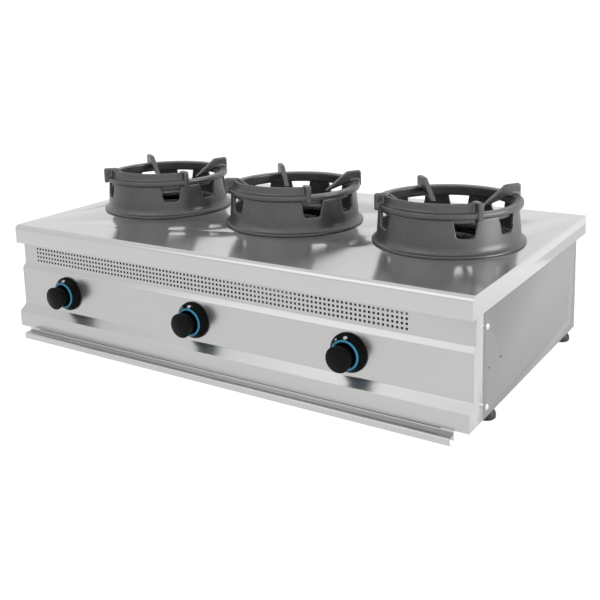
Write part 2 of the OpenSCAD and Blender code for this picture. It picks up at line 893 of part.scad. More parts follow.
module support_profile() {
    polygon(concat([[support_inner, lip_z - spigot_h], [spigot_r, lip_z - spigot_h], [spigot_r, lip_z]],
        arc([lip_r - ring_edge, lip_z + ring_edge], ring_edge, -90, 0, 4),
        arc([lip_r - ring_edge, rim_z - ring_edge], ring_edge, 0, 90, 4),
        arc([support_inner + ring_edge, rim_z - ring_edge], ring_edge, 90, 180, 4)));
}

// Loose casting on the wok ring: lip, four prongs and the shield between two of them
module pan_support(i) {
    shield_base = rim_z - prong_sink;
    shield_r = support_inner + shield_in;
    color("dimgray") translate([burner_xs[i], burner_y, top_z]) rotate([0, 0, support_turns[i]]) {
        rotate_extrude() support_profile();
        rotate([0, 0, prong_azimuths[0]]) rotate_extrude(angle = prong_azimuths[1] - prong_azimuths[0])
            polygon([[lip_r - shield_out, shield_base], [shield_r + shield_t, shield_z],
                [shield_r, shield_z], [shield_r, shield_base]]);
        for (a = prong_azimuths) prong(a);
    }
}

// Drip tray

pan_half_w = foot_x - foot_r - tray_clear - runner_flange - 2 * gap - pan_rim;
pan_top = base_z - runner_drop + sheet_t + gap + sheet_t;
lip_top = pan_top - lip_drop;
pan_front = apron_y + 2 * sheet_t;
front_wall_top = foot_h - tray_gap;
pan_path = [[-pan_half_w - pan_rim, pan_top - sheet_t], [-pan_half_w, pan_top - sheet_t],
    [-pan_half_w, pan_top - pan_h], [pan_half_w, pan_top - pan_h], [pan_half_w, pan_top - sheet_t],
    [pan_half_w + pan_rim, pan_top - sheet_t]];

module drip_tray() {
    color("silver") translate([0, pan_front, 0]) {
        along_y(pan_l) polygon(band(pan_path, sheet_t));
        block([-pan_half_w, 0, pan_top - pan_h], [pan_half_w, sheet_t, front_wall_top]);
        block([-pan_half_w, pan_l - sheet_t, pan_top - pan_h], [pan_half_w, pan_l, pan_top]);
    }
}

lip_path = concat([[0, lip_top - lip_h + sheet_t], [0, lip_top]],
    arc([-lip_d + bend_r, lip_top - lip_fall - bend_r], bend_r, 90, 180),
    arc([-lip_d + hem_r, lip_top - lip_h], hem_r, 180, 360));

module tray_front() {
    color("gainsboro") translate([0, pan_front, 0])
        along_x(range_w - 2 * front_inset) polygon(band(lip_path, sheet_t));
}

runner_web = pan_half_w + pan_rim + 2 * gap;

module tray_runners() {
    outer = runner_web + sheet_t;
    path = [[outer - runner_ledge, base_z - runner_drop], [outer, base_z - runner_drop],
        [outer, base_z - sheet_t], [runner_web + runner_flange, base_z - sheet_t]];
    color("silver") for (s = [-1, 1]) scale([s, 1, 1]) translate([0, pan_front + rear_flange, 0])
        along_y(pan_l - rear_flange) polygon(band(path, sheet_t));
}

// Feet and fasteners

module foot(x, y) {
    color("black") translate([x, y, 0]) {
        rotate_extrude() polygon([[0, 0], [foot_r - pad_edge, 0], [foot_r, pad_edge],
            [foot_r, foot_base_h], [foot_top_r, foot_h - 2 * gap], [0, foot_h - 2 * gap]]);
        cylinder(r = stud_r, h = foot_h + stud_l);
    }
}

module foot_nuts() {
    color("silver") for (s = [-1, 1], y = foot_ys) translate([s * foot_x, y, base_top]) difference() {
        cylinder(r = nut_r, h = nut_h, $fn = 6);
        translate([0, 0, -over]) cylinder(r = stud_r + fit, h = nut_h + 2 * over);
    }
}

module panel_screws() {
    sphere_r = (dome_r * dome_r + dome_h * dome_h) / (2 * dome_h);
    color("white") for (s = [-1, 1], drop = side_screw_drops)
        translate([s * body_half, side_screw_y_abs, top_z - drop]) rotate([0, s * 90, 0]) {
            intersection() {
                translate([0, 0, dome_h - sphere_r]) sphere(r = sphere_r);
                cylinder(r = dome_r, h = dome_h);
            }
            translate([0, 0, -shank_l]) cylinder(r = shank_r, h = shank_l);
        }
    color("silver") for (p = rear_screw_places) translate([p[0], body_back, p[1]]) {
        bar_y(rear_screw_r, rear_screw_h);
        translate([0, -shank_l, 0]) bar_y(rear_shank_r, shank_l);
    }
}

top_plate();
top_braces();
front_panel();
side_panel(-1);  // left_side_panel
side_panel(1);  // right_side_panel
rear_panel();
base_frame();
tray_runners();
burner_rails();
bezel_rings();
gas_manifold();
manifold_brackets();
injectors();
burner_rims();
pilot_brackets();
pilot_burners();
pilot_tubes();
thermocouples();
thermocouple_leads();
foot_nuts();
panel_screws();
drip_tray();
tray_front();
for (i = [0:2]) {
    bezel(knob_xs[i]);
    gas_valve(knob_xs[i]);
    feed_tube(i);
    burner_body(burner_xs[i]);
    burner_cap(burner_xs[i]);
    knob(knob_xs[i]);
    valve_stem(knob_xs[i]);
    valve_plunger(knob_xs[i]);
    valve_spring(knob_xs[i]);
    wok_ring(i);
    pan_support(i);
}
for (i = [0:3]) foot((i % 2 == 0 ? -1 : 1) * foot_x, foot_ys[i < 2 ? 0 : 1]);
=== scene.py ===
"""Countertop wok range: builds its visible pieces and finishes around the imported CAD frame."""

import math
from typing import NamedTuple

import bmesh
import bpy
from bpy.props import FloatProperty, FloatVectorProperty, IntProperty, PointerProperty
from bpy.types import Operator, Panel, PropertyGroup
from mathutils import Matrix, Vector, noise


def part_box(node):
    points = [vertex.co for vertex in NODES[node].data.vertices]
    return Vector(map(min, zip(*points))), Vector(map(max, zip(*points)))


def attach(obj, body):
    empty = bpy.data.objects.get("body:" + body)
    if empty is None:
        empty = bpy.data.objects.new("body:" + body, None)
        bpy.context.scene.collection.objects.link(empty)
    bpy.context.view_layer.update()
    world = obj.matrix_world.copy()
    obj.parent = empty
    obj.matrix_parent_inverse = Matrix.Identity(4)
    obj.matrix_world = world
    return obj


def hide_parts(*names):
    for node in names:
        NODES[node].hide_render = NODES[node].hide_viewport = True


bl_info = {
    "name": "Wok range",
    "version": (1, 0, 0),
    "blender": (4, 5, 0),
    "location": "3D View > Sidebar > Wok range",
    "description": "Builds the visible pieces of a countertop wok range around its CAD frame",
    "category": "Object",
}

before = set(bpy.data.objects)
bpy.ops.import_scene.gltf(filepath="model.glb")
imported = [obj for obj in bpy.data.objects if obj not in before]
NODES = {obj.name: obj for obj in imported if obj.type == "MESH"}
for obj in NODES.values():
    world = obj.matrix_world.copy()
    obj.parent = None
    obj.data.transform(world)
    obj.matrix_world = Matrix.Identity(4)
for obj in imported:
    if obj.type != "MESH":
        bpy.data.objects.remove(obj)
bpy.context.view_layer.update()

SIDES = ("left", "middle", "right")
CORNERS = ("front_left", "front_right", "rear_left", "rear_right")
MM = 0.001

WELD_GAP = 0.01 * MM
FLAT_ANGLE = math.radians(0.5)
FLAT_WIDTH = 2.4 * MM
SHARP_ANGLE = math.radians(30)
FOLD_TURN = (math.radians(20), math.radians(80))
FOLD_MIN = 100 * MM
FOLD_SEGMENTS = 3
EDGE_TURN = (math.radians(50), math.radians(130))
EDGE_MIN = 3 * MM
EDGE_SEGMENTS = 2


# Settings


class SheetSettings(PropertyGroup):
    """Finish of the stainless sheet parts; the top, front and sides are one steel in lit and
    shaded colours: painted light and shade.
    """

    # The top's colour is the steel set lighter for the light that falls on the top: painted light.
    top_shading_colour: FloatVectorProperty(
        name="Top",
        description="Colour that the cooking top reflects",
        default=(0.56, 0.56, 0.557),
        min=0,
        max=1,
        subtype="COLOR",
    )
    # The front's colour is the steel set for the light that falls on the front, and the drip tray
    # shares it: painted light.
    front_shading_colour: FloatVectorProperty(
        name="Front",
        description="Colour that the front panel reflects",
        default=(0.525, 0.525, 0.522),
        min=0,
        max=1,
        subtype="COLOR",
    )
    # The sides' colour is the same steel made much darker for the light that misses the sides:
    # painted shade.
    side_shading_colour: FloatVectorProperty(
        name="Sides",
        description="Colour that the side and rear panels reflect",
        default=(0.25, 0.25, 0.252),
        min=0,
        max=1,
        subtype="COLOR",
    )
    # The inside sheet is darkened near black so that the inside of the body reads as shade:
    # painted shade.
    inner_shade_colour: FloatVectorProperty(
        name="Inside",
        description="Colour of the plain sheet parts inside the body",
        default=(0.10, 0.102, 0.104),
        min=0,
        max=1,
        subtype="COLOR",
    )
    fold_width: FloatProperty(
        name="Fold width",
        description="Width of the rounding along the folds of the front",
        default=1.2 * MM,
        min=0.1 * MM,
        max=1.4 * MM,
        unit="LENGTH",
    )
    edge_width: FloatProperty(
        name="Edge width",
        description="Width of the rounding along cut edges",
        default=0.45 * MM,
        min=0.05 * MM,
        max=0.6 * MM,
        unit="LENGTH",
    )


class IronSettings(PropertyGroup):
    """Finish and resolution of the iron castings."""

    colour: FloatVectorProperty(
        name="Colour",
        description="Colour of the cast iron",
        default=(0.118, 0.118, 0.121),
        min=0,
        max=1,
        subtype="COLOR",
    )
    voxel: FloatProperty(
        name="Voxel",
        description="Cell size used to round the casting's edges",
        default=2.2 * MM,
        min=0.8 * MM,
        max=4 * MM,
        unit="LENGTH",
    )
    unevenness: FloatProperty(
        name="Unevenness",
        description="How far the cast surface wanders from its true shape",
        default=0.2 * MM,
        min=0,
        max=1 * MM,
        unit="LENGTH",
    )


class KnobSettings(PropertyGroup):
    """Finish of the knobs and their bezels."""

    knob_colour: FloatVectorProperty(
        name="Knob",
        description="Colour of the knobs and bezels",
        default=(0.003, 0.003, 0.0034),
        min=0,
        max=1,
        subtype="COLOR",
    )
    ring_colour: FloatVectorProperty(
        name="Ring",
        description="Colour of the ring round each knob",
        default=(0.055, 0.40, 0.68),
        min=0,
        max=1,
        subtype="COLOR",
    )
    mark_colour: FloatVectorProperty(
        name="Marks",
        description="Colour of the marks for off and on",
        default=(0.94, 0.95, 0.96),
        min=0,
        max=1,
        subtype="COLOR",
    )
    ribs: IntProperty(
        name="Ribs",
        description="Number of ribs on a knob's grip",
        default=24,
        min=8,
        max=60,
    )


class StageSettings(PropertyGroup):
    """Floor, light and background."""

    floor_colour: FloatVectorProperty(
        name="Floor",
        description="Colour of the floor",
        default=(0.8, 0.8, 0.8),
        min=0,
        max=1,
        subtype="COLOR",
    )
    sky_strength: FloatProperty(
        name="Sky",
        description="Strength of the even light from all round",
        default=0.3,
        min=0,
        max=2,
    )
    key_power: FloatProperty(
        name="Key lamp",
        description="Power of the large lamp at the front left",
        default=15,
        min=0,
        max=500,
        unit="POWER",
    )
    top_power: FloatProperty(
        name="Top lamp",
        description="Power of the large lamp above the range",
        default=60,
        min=0,
        max=500,
        unit="POWER",
    )
    side_power: FloatProperty(
        name="Side lamp",
        description="Power of the low lamp at the right",
        default=40,
        min=0,
        max=500,
        unit="POWER",
    )


# Materials


NOISE_MIDDLE = (0.3, 0.7)
GRAIN_DETAIL = 3
BROAD_SCALE = (7, 7, 7)
BROAD_DETAIL = 2
BROAD_SHARE = 0.12
LONG_GRAIN = 9
CROSS_GRAIN = 700


class Finish(NamedTuple):
    """Look of one material. Grain is the noise scale per metre along X, Y and Z."""

    colour: tuple
    variation: float
    rough: tuple
    grain: tuple
    depth: float
    metallic: float = 0.0
    specular: float = 0.5


def finish_table(scene):
    """The finishes of all materials, by name."""
    sheet = scene.wok_range_sheet
    knob = scene.wok_range_knob
    iron = scene.wok_range_iron
    along_x = (LONG_GRAIN, CROSS_GRAIN, CROSS_GRAIN)
    along_y = (CROSS_GRAIN, LONG_GRAIN, CROSS_GRAIN)
    fine = (500, 500, 500)
    skin = (420, 420, 420)
    bright = (0.70, 0.70, 0.69)
    brass = (0.62, 0.44, 0.19)
    copper = (0.60, 0.30, 0.17)
    # Burner iron is near black for two reasons: real soot, and painted shade so that the burners
    # read dark inside the rings.
    soot_and_shade = (0.02, 0.019, 0.018)
    well = (0.006, 0.060, 0.170)
    return {
        # Top, front, sides and tray are one steel in lit and shaded copies: painted light on the
        # top, front and tray, painted shade on the sides.
        "lit_satin_top": Finish(sheet.top_shading_colour, 0.01, (0.15, 0.17), along_x, 0.03 * MM, 0.84),
        "lit_satin_front": Finish(sheet.front_shading_colour, 0.006, (0.26, 0.27), along_x, 0.006 * MM, 0.86),
        "shaded_satin_side": Finish(sheet.side_shading_colour, 0.006, (0.26, 0.27), along_y, 0.006 * MM, 0.9),
        # Near-black walls of the vent holes that stand in for the shade inside them: painted
        # shade.
        "vent_hole_shade": Finish((0.03, 0.03, 0.03), 0.1, (0.4, 0.5), fine, 0.01 * MM, 1.0),
        # Near-black inside sheet that stands in for the shade inside the body: painted shade.
        "shaded_inner_sheet": Finish(sheet.inner_shade_colour, 0.12, (0.38, 0.50), fine, 0.03 * MM, 1.0),
        "lit_satin_tray": Finish(sheet.front_shading_colour, 0.01, (0.26, 0.28), along_x, 0.01 * MM, 1.0),
        "bright_metal": Finish(bright, 0.05, (0.14, 0.22), fine, 0.01 * MM, 1.0),
        "rough_casting": Finish(iron.colour, 0.22, (0.30, 0.38), skin, 0.06 * MM, 0.65),
        "burnt_iron_and_shade": Finish(soot_and_shade, 0.3, (0.5, 0.65), skin, 0.2 * MM, 0.0, 0.3),
        "burnt_steel": Finish((0.74, 0.72, 0.69), 0.15, (0.16, 0.26), fine, 0.02 * MM, 1.0),
        "drawn_brass": Finish(brass, 0.12, (0.24, 0.36), fine, 0.02 * MM, 1.0),
        "drawn_copper": Finish(copper, 0.12, (0.26, 0.38), fine, 0.02 * MM, 1.0),
        "knob_gloss": Finish(knob.knob_colour, 0.25, (0.18, 0.24), fine, 0.01 * MM, 0.0, 0.10),
        "bezel_gloss": Finish(knob.knob_colour, 0.25, (0.08, 0.12), fine, 0.01 * MM, 0.0, 0.06),
        "well_gloss": Finish(well, 0.2, (0.12, 0.2), fine, 0.01 * MM, 0.0, 0.3),
        "ring_gloss": Finish(knob.ring_colour, 0.06, (0.26, 0.34), fine, 0.01 * MM),
        "mark_white": Finish(knob.mark_colour, 0.04, (0.40, 0.5), fine, 0.01 * MM),
        "foot_black": Finish((0.016, 0.016, 0.017), 0.2, (0.42, 0.55), skin, 0.08 * MM),
    }


def noise_output(tree, scale, detail):
    """Noise in the object's own coordinates, with its scale per metre along each axis."""
    place = tree.nodes.new("ShaderNodeTexCoord")
    stretch = tree.nodes.new("ShaderNodeMapping")
    stretch.inputs["Scale"].default_value = scale
    cloud = tree.nodes.new("ShaderNodeTexNoise")
    cloud.inputs["Scale"].default_value = 1
    cloud.inputs["Detail"].default_value = detail
    tree.links.new(place.outputs["Object"], stretch.inputs["Vector"])
    tree.links.new(stretch.outputs["Vector"], cloud.inputs["Vector"])
    return cloud.outputs["Fac"]


def between(tree, source, low, high):
    """Maps the middle of a noise output to the range from low to high."""
    remap = tree.nodes.new("ShaderNodeMapRange")
    middle_low, middle_high = NOISE_MIDDLE
    values = {"From Min": middle_low, "From Max": middle_high, "To Min": low, "To Max": high}
    for socket, value in values.items():
        remap.inputs[socket].default_value = value
    tree.links.new(source, remap.inputs["Value"])
    return remap.outputs["Result"]


def mixed(tree, share, first, second):
    """Mixes two colours by a share that varies over the surface."""
    mix = tree.nodes.new("ShaderNodeMix")
    mix.data_type = "RGBA"
    mix.inputs["A"].default_value = (*first, 1)
    mix.inputs["B"].default_value = (*second, 1)
    tree.links.new(share, mix.inputs["Factor"])
    return mix.outputs["Result"]


def material(name):
    """The material of that name, built on first use from its finish."""
    made = bpy.data.materials.get(name)
    if made:
        return made
    finish = finish_table(bpy.context.scene)[name]
    made = bpy.data.materials.new(name)
    made.use_nodes = True
    tree = made.node_tree
    shader = tree.nodes["Principled BSDF"]
    grain = noise_output(tree, finish.grain, GRAIN_DETAIL)
    broad = noise_output(tree, BROAD_SCALE, BROAD_DETAIL)
    blend = tree.nodes.new("ShaderNodeMath")
    blend.operation = "ADD"
    tree.links.new(grain, blend.inputs[0])
    tree.links.new(between(tree, broad, -BROAD_SHARE, BROAD_SHARE), blend.inputs[1])
    dark = [c * (1 - finish.variation) for c in finish.colour]
    light = [min(1, c * (1 + finish.variation)) for c in finish.colour]
    colour = mixed(tree, between(tree, blend.outputs[0], 0, 1), dark, light)
    tree.links.new(colour, shader.inputs["Base Color"])
    tree.links.new(between(tree, blend.outputs[0], *finish.rough), shader.inputs["Roughness"])
    bump = tree.nodes.new("ShaderNodeBump")
    bump.inputs["Distance"].default_value = finish.depth
    tree.links.new(grain, bump.inputs["Height"])
    tree.links.new(bump.outputs["Normal"], shader.inputs["Normal"])
    shader.inputs["Metallic"].default_value = finish.metallic
    shader.inputs["Specular IOR Level"].default_value = finish.specular
    return made


# Mesh helpers


def coat_node(finish, *names):
    """Gives CAD nodes whose shape stays the material of a finish."""
    for name in names:
        slots = NODES[name].data.materials
        slots.clear()
        slots.append(material(finish))


def add_piece(name, mesh, body, finish, replaced=()):
    """Links a mesh as a piece that rides on a body and stands for CAD nodes."""
    mesh.materials.clear()
    mesh.materials.append(material(finish))
    piece = bpy.data.objects.new(name, mesh)
    bpy.context.scene.collection.objects.link(piece)
    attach(piece, body)
    if replaced:
        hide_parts(*replaced)
    return piece


def mesh_from(bm, name, keep_flat=False):
    """Turns a bmesh into a mesh with smooth faces, sharp folds and, if asked, flat sheet faces."""
    bmesh.ops.recalc_face_normals(bm, faces=bm.faces)
    for face in bm.faces:
        mean_width = 2 * face.calc_area() / face.calc_perimeter()
        face.smooth = not keep_flat or mean_width < FLAT_WIDTH
    mesh = bpy.data.meshes.new(name)
    bm.to_mesh(mesh)
    bm.free()
    normals = mesh.attributes.get("custom_normal")
    if normals:
        mesh.attributes.remove(normals)
    mesh.set_sharp_from_angle(angle=SHARP_ANGLE)
    return mesh


def welded(node):
    """A bmesh of a CAD node with its seams closed and its flat faces joined."""
    bm = bmesh.new()
    bm.from_mesh(NODES[node].data)
    bmesh.ops.remove_doubles(bm, verts=bm.verts, dist=WELD_GAP)
    bmesh.ops.dissolve_limit(
        bm, angle_limit=FLAT_ANGLE, verts=bm.verts, edges=bm.edges, delimit={"NORMAL"}
    )
    return bm


def round_edges(bm, width, shortest=EDGE_MIN, turn=EDGE_TURN, segments=EDGE_SEGMENTS):
    """Rounds edges at least that long whose faces turn by an angle in that range."""
    low, high = turn
    edges = [
        e
        for e in bm.edges
        if len(e.link_faces) == 2
        and e.calc_length() >= shortest
        and low < e.calc_face_angle(0) < high
    ]
    bmesh.ops.bevel(
        bm,
        geom=edges,
        offset=width,
        offset_type="OFFSET",
        segments=segments,
        profile=0.5,
        affect="EDGES",
        clamp_overlap=False,
    )


def rounded_copy(node, body, finish, fold=None, edge=None, shortest=EDGE_MIN):
    """A copy of a CAD node with its folds and cut edges rounded."""
    bm = welded(node)
    if fold:
        round_edges(bm, fold, FOLD_MIN, FOLD_TURN, FOLD_SEGMENTS)
    if edge:
        round_edges(bm, edge, shortest)
    mesh = mesh_from(bm, node + "_piece", keep_flat=True)
    return add_piece(node + "_piece", mesh, body, finish, [node])


def turned(bm, profile, steps, matrix, ripple=None):
    """Turns a profile of radius and height about Z, then places it with a matrix."""
    rings = []
    for radius, height in profile:
        if radius == 0:
            rings.append([bm.verts.new(matrix @ Vector((0, 0, height)))])
            continue
        ring = []
        for i in range(steps):
            turn = 2 * math.pi * i / steps
            reach = radius + (ripple(turn, height) if ripple else 0)
            point = Vector((reach * math.cos(turn), reach * math.sin(turn), height))
            ring.append(bm.verts.new(matrix @ point))
        rings.append(ring)
    for below, above in zip(rings, rings[1:]):
        for i in range(steps):
            corners = [
                below[i % len(below)],
                below[(i + 1) % len(below)],
                above[(i + 1) % len(above)],
                above[i % len(above)],
            ]
            bm.faces.new(list(dict.fromkeys(corners)))


def arc(centre, radius, start, end, steps=6):
    """Points of an arc, with its angles in degrees."""
    angles = (math.radians(start + (end - start) * i / steps) for i in range(steps + 1))
    return [(centre[0] + radius * math.cos(a), centre[1] + radius * math.sin(a)) for a in angles]


def facing_front(centre):
    """Places something turned about Z so that it stands out of the front panel."""
    return Matrix.Translation(centre) @ Matrix.Rotation(math.pi / 2, 4, "X")


# Stage


CAMERA_PLACE = (1.1911, -1.7975, 0.8072)
CAMERA_YAW = math.radians(34.176)
CAMERA_PITCH = math.radians(10.982)
CAMERA_ROLL = math.radians(-1.907)
CAMERA_LENS = 55.106
CAMERA_SHIFT = (0.0352, -0.2)
SENSOR_WIDTH = 36
FLOOR_HALF = 12
FLOOR_GLOW = 0.75
FLOOR_WHITE = 1.3
LAMP_AIM = (0, 0, 0.2)
KEY_LAMP = ((-1.1, -2.4, 2.7), 2.6)
TOP_LAMP = ((0.6, 0.6, 3.2), 4.0)
SIDE_LAMP = ((2.9, 0.25, 0.85), 1.6)


def shown_directly(tree):
    """One for camera, glossy and transmission rays, and zero for all others."""
    path = tree.nodes.new("ShaderNodeLightPath")
    total = path.outputs["Is Camera Ray"]
    for ray in ("Is Glossy Ray", "Is Transmission Ray"):
        either = tree.nodes.new("ShaderNodeMath")
        either.operation = "MAXIMUM"
        tree.links.new(total, either.inputs[0])
        tree.links.new(path.outputs[ray], either.inputs[1])
        total = either.outputs[0]
    return total


def build_world(strength):
    """White background with a weaker even light."""
    world = bpy.data.worlds.new("studio")
    world.use_nodes = True
    tree = world.node_tree
    tree.nodes.clear()
    light = tree.nodes.new("ShaderNodeBackground")
    light.inputs["Strength"].default_value = strength
    white = tree.nodes.new("ShaderNodeBackground")
    mix = tree.nodes.new("ShaderNodeMixShader")
    out = tree.nodes.new("ShaderNodeOutputWorld")
    for background in (light, white):
        background.inputs["Color"].default_value = (1, 1, 1, 1)
    tree.links.new(shown_directly(tree), mix.inputs["Fac"])
    tree.links.new(light.outputs[0], mix.inputs[1])
    tree.links.new(white.outputs[0], mix.inputs[2])
    tree.links.new(mix.outputs[0], out.inputs["Surface"])
    bpy.context.scene.world = world


def build_floor(colour):
    """A pale floor that fades into the background and keeps a soft shadow."""
    mesh = bpy.data.meshes.new("floor")
    corners = [(-1, -1), (1, -1), (1, 1), (-1, 1)]
    mesh.from_pydata([(x * FLOOR_HALF, y * FLOOR_HALF, 0) for x, y in corners], [], [(0, 1, 2, 3)])
    paint = bpy.data.materials.new("floor")
    paint.use_nodes = True
    tree = paint.node_tree
    tree.nodes.clear()
    matt = tree.nodes.new("ShaderNodeBsdfDiffuse")
    matt.inputs["Color"].default_value = (*colour, 1)
    glow = tree.nodes.new("ShaderNodeEmission")
    mix = tree.nodes.new("ShaderNodeMixShader")
    out = tree.nodes.new("ShaderNodeOutputMaterial")
    share = tree.nodes.new("ShaderNodeMath")
    share.operation = "MULTIPLY"
    share.inputs[1].default_value = FLOOR_GLOW
    glow.inputs["Strength"].default_value = FLOOR_WHITE
    tree.links.new(shown_directly(tree), share.inputs[0])
    tree.links.new(share.outputs[0], mix.inputs["Fac"])
    tree.links.new(matt.outputs[0], mix.inputs[1])
    tree.links.new(glow.outputs[0], mix.inputs[2])
    tree.links.new(mix.outputs[0], out.inputs["Surface"])
    mesh.materials.append(paint)
    floor = bpy.data.objects.new("floor", mesh)
    bpy.context.scene.collection.objects.link(floor)


def add_lamp(name, place, size, power, mirrored=True):
    """A large square lamp that looks at the range, and whether shiny surfaces mirror it."""
    lamp = bpy.data.lights.new(name, "AREA")
    lamp.size = size
    lamp.energy = power
    holder = bpy.data.objects.new(name, lamp)
    holder.location = place
    holder.rotation_mode = "QUATERNION"
    holder.rotation_quaternion = (Vector(LAMP_AIM) - Vector(place)).to_track_quat("-Z", "Y")
    holder.visible_glossy = mirrored
    bpy.context.scene.collection.objects.link(holder)


def build_camera():
    """The camera at the photograph's viewing angle."""
    cos_yaw, sin_yaw = math.cos(CAMERA_YAW), math.sin(CAMERA_YAW)
    cos_pitch, sin_pitch = math.cos(CAMERA_PITCH), math.sin(CAMERA_PITCH)
    ahead = Vector((-sin_yaw * cos_pitch, cos_yaw * cos_pitch, -sin_pitch))
    right = Vector((cos_yaw, sin_yaw, 0))
    up = right.cross(ahead)
    cos_roll, sin_roll = math.cos(CAMERA_ROLL), math.sin(CAMERA_ROLL)
    turned_right = right * cos_roll + up * sin_roll
    turned_up = up * cos_roll - right * sin_roll
    data = bpy.data.cameras.new("camera")
    data.sensor_width = SENSOR_WIDTH
    data.lens = CAMERA_LENS
    data.shift_x, data.shift_y = CAMERA_SHIFT
    camera = bpy.data.objects.new("camera", data)
    axes = Matrix((turned_right, turned_up, -ahead)).transposed().to_4x4()
    camera.matrix_world = Matrix.Translation(CAMERA_PLACE) @ axes
    bpy.context.scene.collection.objects.link(camera)
    bpy.context.scene.camera = camera


class WOKRANGE_OT_stage(Operator):
    """Build the camera, the lamps, the background and the floor"""

    bl_idname = "wokrange.stage"
    bl_label = "Stage"

    def execute(self, context):
        settings = context.scene.wok_range_stage
        context.scene.view_settings.view_transform = "Standard"
        build_camera()
        build_world(settings.sky_strength)
        build_floor(settings.floor_colour)
        add_lamp("key_lamp", *KEY_LAMP, settings.key_power)
        add_lamp("top_lamp", *TOP_LAMP, settings.top_power, mirrored=False)
        add_lamp("side_lamp", *SIDE_LAMP, settings.side_power)
        return {"FINISHED"}


# Body


class WOKRANGE_OT_cooking_top(Operator):
    """Build the cooking top and the braces under it"""

    bl_idname = "wokrange.cooking_top"
    bl_label = "Cooking top"

    def execute(self, context):
        settings = context.scene.wok_range_sheet
        rounded_copy("top_plate", "housing", "lit_satin_top", edge=settings.edge_width)
        coat_node("shaded_inner_sheet", "top_braces")
        return {"FINISHED"}


# Height band of the vent strip whose hole walls get painted shade.
VENT_LOW = 190 * MM
VENT_HIGH = 230 * MM
VENT_WALL_AREA = (6 * MM * MM, 9 * MM * MM)
VENT_WALL_LEAN = 0.3
PANEL_EDGE_MIN = 8 * MM


def shade_vent_holes(mesh):
    """Gives the walls of the vent holes a near-black colour so that the holes read as shade:
    painted shade.
    """
    mesh.materials.append(material("vent_hole_shade"))
    smallest, largest = VENT_WALL_AREA
    for face in mesh.polygons:
        is_wall = smallest < face.area < largest and abs(face.normal.y) < VENT_WALL_LEAN
        if is_wall and VENT_LOW < face.center.z < VENT_HIGH:
            face.material_index = 1


class WOKRANGE_OT_body_shell(Operator):
    """Build the front, side, rear and base panels"""

    bl_idname = "wokrange.body_shell"
    bl_label = "Body shell"

    def execute(self, context):
        settings = context.scene.wok_range_sheet
        front = rounded_copy(
            "front_panel",
            "housing",
            "lit_satin_front",
            fold=settings.fold_width,
            edge=settings.edge_width,
            shortest=PANEL_EDGE_MIN,
        )
        shade_vent_holes(front.data)
        for node in ("left_side_panel", "right_side_panel", "rear_panel"):
            rounded_copy(
                node,
                "housing",
                "shaded_satin_side",
                edge=settings.edge_width,
                shortest=PANEL_EDGE_MIN,
            )
        coat_node("shaded_inner_sheet", "base_frame")
        return {"FINISHED"}


class WOKRANGE_OT_inner_frame(Operator):
    """Finish the rails, runners and brackets inside the body"""

    bl_idname = "wokrange.inner_frame"
    bl_label = "Inner frame"

    def execute(self, context):
        coat_node(
            "shaded_inner_sheet",
            "tray_runners",
            "burner_rails",
            "manifold_brackets",
            "pilot_brackets",
        )
        return {"FINISHED"}


# Wok rings


RING_TURNS = {"left": 7, "middle": 12, "right": 0}
SUPPORT_TURNS = {"left": 13, "middle": 0, "right": 2}
SMOOTH_SHARE = 0.5
SMOOTH_ROUNDS = 2
BROAD_WANDER = 60
FINE_WANDER = 220
FINE_SHARE = 0.5
WANDER_REACH = 1.2


def casting_mesh(node, settings):
    """A copy of a CAD node with the rounded edges and uneven skin of a sand casting.

    The skin wanders mostly inward from the true shape.
    """
    scene = bpy.context.scene
    draft = bpy.data.objects.new("casting_draft", NODES[node].data.copy())
    scene.collection.objects.link(draft)
    weld = draft.modifiers.new("Weld", "WELD")
    weld.merge_threshold = WELD_GAP
    remesh = draft.modifiers.new("Remesh", "REMESH")
    remesh.mode = "VOXEL"
    remesh.voxel_size = settings.voxel
    smooth = draft.modifiers.new("Smooth", "SMOOTH")
    smooth.factor = SMOOTH_SHARE
    smooth.iterations = SMOOTH_ROUNDS
    evaluated = draft.evaluated_get(bpy.context.evaluated_depsgraph_get())
    mesh = bpy.data.meshes.new_from_object(evaluated)
    bpy.data.objects.remove(draft)
    places = []
    for vertex, normal in zip(mesh.vertices, mesh.vertex_normals):
        broad = noise.noise(vertex.co * BROAD_WANDER)
        wander = broad + FINE_SHARE * noise.noise(vertex.co * FINE_WANDER)
        depth = (wander - WANDER_REACH) / (2 * WANDER_REACH)
        places.extend(vertex.co + normal.vector * depth * settings.unevenness)
    mesh.vertices.foreach_set("co", places)
    mesh.shade_smooth()
    mesh.materials.clear()
    mesh.materials.append(material("rough_casting"))
    return mesh


def burner_axis(side):
    """A point on the axis of a burner."""
    low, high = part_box(f"{side}_burner_cap")
    return (low + high) / 2


def place_castings(kind, body, turns, settings):
    """Casts the middle piece of a kind and sets copies of it on all three burners."""
    casting = casting_mesh(f"middle_{kind}", settings)
    back = Matrix.Translation(-burner_axis("middle"))
    for side in SIDES:
        turn = math.radians(turns[side] - turns["middle"])
        piece = bpy.data.objects.new(f"{side}_{kind}_casting", casting)
        piece.matrix_world = (
            Matrix.Translation(burner_axis(side)) @ Matrix.Rotation(turn, 4, "Z") @ back
        )
        bpy.context.scene.collection.objects.link(piece)
        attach(piece, f"{side}_{body}")
        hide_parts(f"{side}_{kind}")


class WOKRANGE_OT_wok_rings(Operator):
    """Build the three cast-iron wok rings"""

    bl_idname = "wokrange.wok_rings"
    bl_label = "Wok rings"

    def execute(self, context):
        place_castings("wok_ring", "ring", RING_TURNS, context.scene.wok_range_iron)
        return {"FINISHED"}


